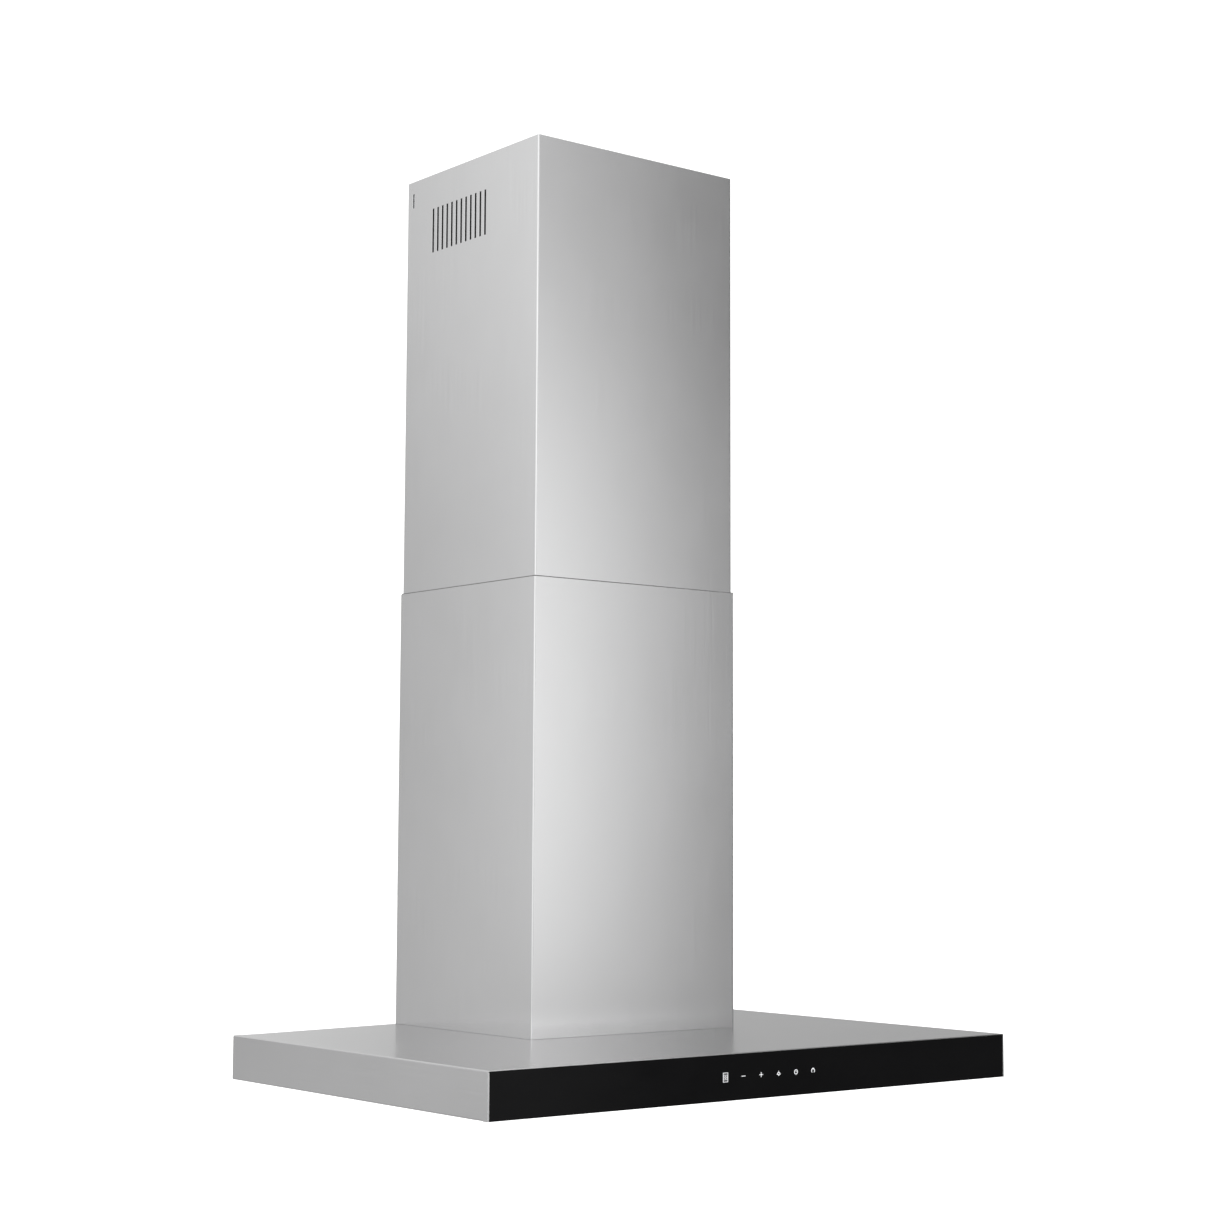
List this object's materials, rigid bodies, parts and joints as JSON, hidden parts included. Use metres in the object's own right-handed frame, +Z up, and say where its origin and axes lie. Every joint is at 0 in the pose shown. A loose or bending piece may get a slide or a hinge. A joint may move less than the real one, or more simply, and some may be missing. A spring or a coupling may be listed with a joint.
{
  "type": "wall chimney range hood",
  "caption": "Wall chimney range hood: flat steel canopy with a black glass touch front, telescoping flue, baffle filters, lamps and a blower inside.",
  "frame": {"origin": "on the wall plane, midway between the two hanging screws of the wall bracket", "axes": "+Y into the wall, -Y towards the room, +Z up, +X to the right for someone facing the hood"},
  "size_m": [0.76, 0.5142, 1.113],
  "materials": {
    "stainless": "fine brushed stainless steel",
    "zinc_plate": "dull zinc-plated steel",
    "spring_steel": "bright plain steel",
    "cast_alloy": "satin aluminium",
    "copper_winding": "bronze and enamelled copper",
    "black_glass": "black tempered glass, polished",
    "lamp_lens": "frosted lamp glass",
    "display_face": "display window",
    "white_print": "white printed marks",
    "black_plastic": "black moulded plastic",
    "grey_plastic": "dark grey moulded plastic",
    "white_plastic": "white moulded plastic",
    "circuit_board": "green circuit board",
    "bonding_tape": "dark foam bonding tape",
    "black_rubber": "black rubber",
    "wire_cover": "light grey cable sheath"
  },
  "bodies": {
    "root": {"canopy_skirt": "stainless", "canopy_top": "stainless", "canopy_back": "zinc_plate", "front_channel": "zinc_plate", "glass_front": "black_glass", "glass_tape": "bonding_tape", "touch_marks": "white_print", "led_display": "display_face", "touch_board": "circuit_board", "touch_springs": "spring_steel", "board_cover": "black_plastic", "bottom_pan": "stainless", "lamp_bezel_left": "stainless", "lamp_bezel_right": "stainless", "lamp_lens_left": "lamp_lens", "lamp_lens_right": "lamp_lens", "lamp_body_left": "cast_alloy", "lamp_body_right": "cast_alloy", "led_driver": "white_plastic", "blower_box": "zinc_plate", "blower_cover": "zinc_plate", "scroll_left": "grey_plastic", "scroll_right": "grey_plastic", "inlet_ring_left": "grey_plastic", "inlet_ring_right": "grey_plastic", "motor_case": "zinc_plate", "motor_stator": "copper_winding", "motor_bearings": "copper_winding", "motor_bracket": "zinc_plate", "motor_rubbers": "black_rubber", "capacitor": "white_plastic", "control_box": "zinc_plate", "control_lid": "zinc_plate", "control_board": "circuit_board", "terminal_block": "white_plastic", "cable_gland": "black_plastic", "outlet_collar": "grey_plastic", "flap_pin": "spring_steel", "lower_flue": "stainless", "wall_bracket": "zinc_plate", "flue_bracket": "zinc_plate", "flue_locators": "zinc_plate", "wiring": "wire_cover", "scroll_screws": "spring_steel", "sheet_screws": "spring_steel"},
    "upper_flue": {"upper_flue": "stainless", "louvre_blanks": "black_plastic"},
    "filter_left": {"filter_frame_left": "stainless", "baffles_left": "stainless", "catch_spring_left": "spring_steel"},
    "catch_left": {"filter_catch_left": "black_plastic"},
    "filter_right": {"filter_frame_right": "stainless", "baffles_right": "stainless", "catch_spring_right": "spring_steel"},
    "catch_right": {"filter_catch_right": "black_plastic"},
    "fan": {"impeller": "cast_alloy", "motor_rotor": "spring_steel", "motor_shaft": "spring_steel"},
    "flap_front": {"flap_front": "black_plastic"},
    "flap_rear": {"flap_rear": "black_plastic"}
  },
  "joints": [
    {"name": "flue_slide", "type": "slide", "parent": "root", "child": "upper_flue", "axis": [0, 0, 1], "range_m": [-0.46, 0.02]},
    {"name": "filter_hinge_left", "type": "hinge", "parent": "root", "child": "filter_left", "pos_m": [-0.158, -0.043, -0.303], "axis": [1, 0, 0], "range_deg": [0, 75]},
    {"name": "filter_hinge_right", "type": "hinge", "parent": "root", "child": "filter_right", "pos_m": [0.158, -0.043, -0.303], "axis": [1, 0, 0], "range_deg": [0, 75]},
    {"name": "catch_slide_left", "type": "slide", "parent": "filter_left", "child": "catch_left", "axis": [0, 1, 0], "range_m": [0, 0.006], "stiffness_N_per_m": 150, "springref_m": -0.008, "deforming": ["catch_spring_left"]},
    {"name": "catch_slide_right", "type": "slide", "parent": "filter_right", "child": "catch_right", "axis": [0, 1, 0], "range_m": [0, 0.006], "stiffness_N_per_m": 150, "springref_m": -0.008, "deforming": ["catch_spring_right"]},
    {"name": "fan_spin", "type": "hinge", "parent": "root", "child": "fan", "pos_m": [0, -0.172, -0.134], "axis": [1, 0, 0], "continuous": true},
    {"name": "flap_hinge_front", "type": "hinge", "parent": "root", "child": "flap_front", "pos_m": [0, -0.0976, 0.058], "axis": [-1, 0, 0], "range_deg": [0, 75]},
    {"name": "flap_hinge_rear", "type": "hinge", "parent": "root", "child": "flap_rear", "pos_m": [0, -0.0976, 0.058], "axis": [1, 0, 0], "range_deg": [0, 75]}
  ]
}
